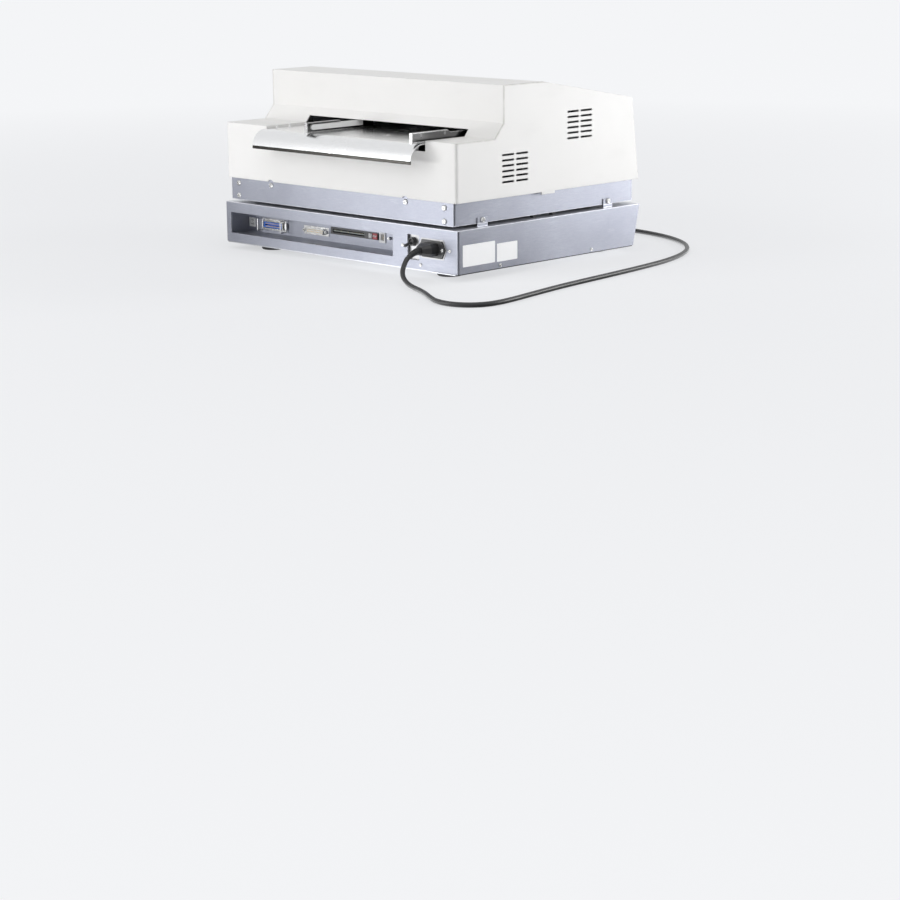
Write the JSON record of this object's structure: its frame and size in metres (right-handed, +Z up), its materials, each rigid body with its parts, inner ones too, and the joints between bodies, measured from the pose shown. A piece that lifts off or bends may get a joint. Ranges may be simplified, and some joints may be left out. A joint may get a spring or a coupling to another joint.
{
  "type": "label printer",
  "caption": "Desktop label printer: a folded-sheet cover over a metal deck and a flat interface box, with a curved media lip, side guides, rear ports and a mains lead.",
  "frame": {"origin": "middle of the outline on the surface under the feet, without the mains lead", "axes": "+Z up, +Y out of the back with the ports and the media lip, -Y out of the front, +X to the left seen from behind"},
  "size_m": [0.6408, 0.6782, 0.2585],
  "materials": {
    "rubber": "matt black rubber",
    "blue_metal": "blue-grey fine textured paint on sheet steel",
    "cover_paint": "off-white semi-matt paint on sheet steel",
    "bright_steel": "bright nickel-plated steel",
    "stainless": "brushed stainless sheet",
    "white_plastic": "white moulded plastic",
    "blue_plastic": "blue moulded connector body",
    "black_plastic": "black moulded plastic",
    "grey_plastic": "grey key caps",
    "red_plastic": "red switch block",
    "circuit_board": "lacquered circuit board",
    "display_glass": "display window and lamps",
    "black_metal": "black painted steel",
    "aluminium": "machined aluminium",
    "ribbon_film": "black ribbon film",
    "cord_plastic": "black cord sheath"
  },
  "bodies": {
    "machine": {"feet": "rubber", "base_plate": "bright_steel", "box_wrap": "blue_metal", "rear_panel": "blue_metal", "port_pocket": "blue_metal", "port_panel": "blue_metal", "usb_socket": "white_plastic", "parallel_shell": "bright_steel", "parallel_insert": "blue_plastic", "serial_shell": "bright_steel", "serial_insert": "black_plastic", "card_bezel": "black_plastic", "option_card": "circuit_board", "dip_switch": "red_plastic", "aux_socket": "white_plastic", "switch_bracket": "bright_steel", "switch_body": "black_plastic", "inlet": "black_plastic", "power_supply": "bright_steel", "main_board": "circuit_board", "deck_pads": "rubber", "deck_pan": "blue_metal", "deck_rear": "blue_metal", "machine_screws": "bright_steel", "cover": "cover_paint", "media_tray": "stainless", "tray_stay": "stainless", "frame_left": "bright_steel", "frame_right": "bright_steel", "guide_rod": "bright_steel", "exit_chute": "stainless", "operator_bezel": "black_plastic", "display_window": "display_glass", "drive_motor": "black_metal", "drive_belt": "rubber", "plug": "cord_plastic", "lead_free": "cord_plastic", "lead_coil": "cord_plastic", "wall_plug": "cord_plastic"},
    "guide_right": {"guide_right": "stainless"},
    "guide_left": {"guide_left": "stainless", "guide_strip": "white_plastic"},
    "lid": {"lid": "cover_paint"},
    "power_lever": {"power_lever": "black_metal"},
    "bail_left": {"bail_left": "bright_steel"},
    "bail_right": {"bail_right": "bright_steel"},
    "key_1": {"key_1": "grey_plastic"},
    "key_2": {"key_2": "grey_plastic"},
    "key_3": {"key_3": "grey_plastic"},
    "key_4": {"key_4": "grey_plastic"},
    "platen": {"platen_roller": "rubber", "platen_shaft": "bright_steel"},
    "feed_roller": {"feed_roller": "rubber"},
    "pinch_roller": {"pinch_roller": "rubber"},
    "motor_pulley": {"motor_pulley": "aluminium"},
    "print_head": {"head_carrier": "black_metal", "print_head": "aluminium"},
    "ribbon_supply": {"ribbon_supply": "ribbon_film"},
    "ribbon_takeup": {"ribbon_takeup": "ribbon_film"}
  },
  "joints": [
    {"name": "guide_right_slide", "type": "slide", "parent": "machine", "child": "guide_right", "axis": [1, 0, 0], "range_m": [0, 0.09]},
    {"name": "guide_left_slide", "type": "slide", "parent": "machine", "child": "guide_left", "axis": [1, 0, 0], "range_m": [-0.1, 0.09]},
    {"name": "lid_hinge", "type": "hinge", "parent": "machine", "child": "lid", "pos_m": [0, -0.01415, 0.24976], "axis": [-1, 0, 0], "range_deg": [0, 108]},
    {"name": "power_toggle", "type": "hinge", "parent": "machine", "child": "power_lever", "pos_m": [-0.15247, 0.17905, 0.048], "axis": [1, 0, 0], "range_deg": [0, 32]},
    {"name": "bail_left_pivot", "type": "hinge", "parent": "machine", "child": "bail_left", "pos_m": [0.19642, 0.14795, 0.03694], "axis": [0, 0, -1], "range_deg": [-15, 80]},
    {"name": "bail_right_pivot", "type": "hinge", "parent": "machine", "child": "bail_right", "pos_m": [0.14541, 0.14795, 0.03694], "axis": [0, 0, 1], "range_deg": [-15, 80]},
    {"name": "key_1_press", "type": "slide", "parent": "machine", "child": "key_1", "axis": [0, 0.9917, -0.1288], "range_m": [0, 0.0012], "stiffness_N_per_m": 500},
    {"name": "key_2_press", "type": "slide", "parent": "machine", "child": "key_2", "axis": [0, 0.9917, -0.1288], "range_m": [0, 0.0012], "stiffness_N_per_m": 500},
    {"name": "key_3_press", "type": "slide", "parent": "machine", "child": "key_3", "axis": [0, 0.9917, -0.1288], "range_m": [0, 0.0012], "stiffness_N_per_m": 500},
    {"name": "key_4_press", "type": "slide", "parent": "machine", "child": "key_4", "axis": [0, 0.9917, -0.1288], "range_m": [0, 0.0012], "stiffness_N_per_m": 500},
    {"name": "platen_spin", "type": "hinge", "parent": "machine", "child": "platen", "pos_m": [0, -0.12875, 0.1734], "axis": [1, 0, 0], "continuous": true},
    {"name": "feed_spin", "type": "hinge", "parent": "machine", "child": "feed_roller", "pos_m": [0, -0.08075, 0.1734], "axis": [1, 0, 0], "continuous": true},
    {"name": "pinch_spin", "type": "hinge", "parent": "machine", "child": "pinch_roller", "pos_m": [0, -0.08075, 0.1911], "axis": [1, 0, 0], "continuous": true},
    {"name": "motor_spin", "type": "hinge", "parent": "machine", "child": "motor_pulley", "pos_m": [0, -0.10475, 0.1295], "axis": [1, 0, 0], "continuous": true},
    {"name": "head_lift", "type": "hinge", "parent": "machine", "child": "print_head", "pos_m": [0, -0.10475, 0.2075], "axis": [-1, 0, 0], "range_deg": [0, 15]},
    {"name": "supply_spin", "type": "hinge", "parent": "machine", "child": "ribbon_supply", "pos_m": [0, -0.03375, 0.2085], "axis": [1, 0, 0], "continuous": true},
    {"name": "takeup_spin", "type": "hinge", "parent": "machine", "child": "ribbon_takeup", "pos_m": [0, -0.15275, 0.2075], "axis": [1, 0, 0], "continuous": true}
  ],
  "couplings": [
    {"joint": "feed_spin", "follows": "platen_spin", "ratio": 1},
    {"joint": "pinch_spin", "follows": "platen_spin", "ratio": -1.4286},
    {"joint": "motor_spin", "follows": "platen_spin", "ratio": 1.8333},
    {"joint": "supply_spin", "follows": "platen_spin", "ratio": -0.5},
    {"joint": "takeup_spin", "follows": "platen_spin", "ratio": -0.83333}
  ]
}
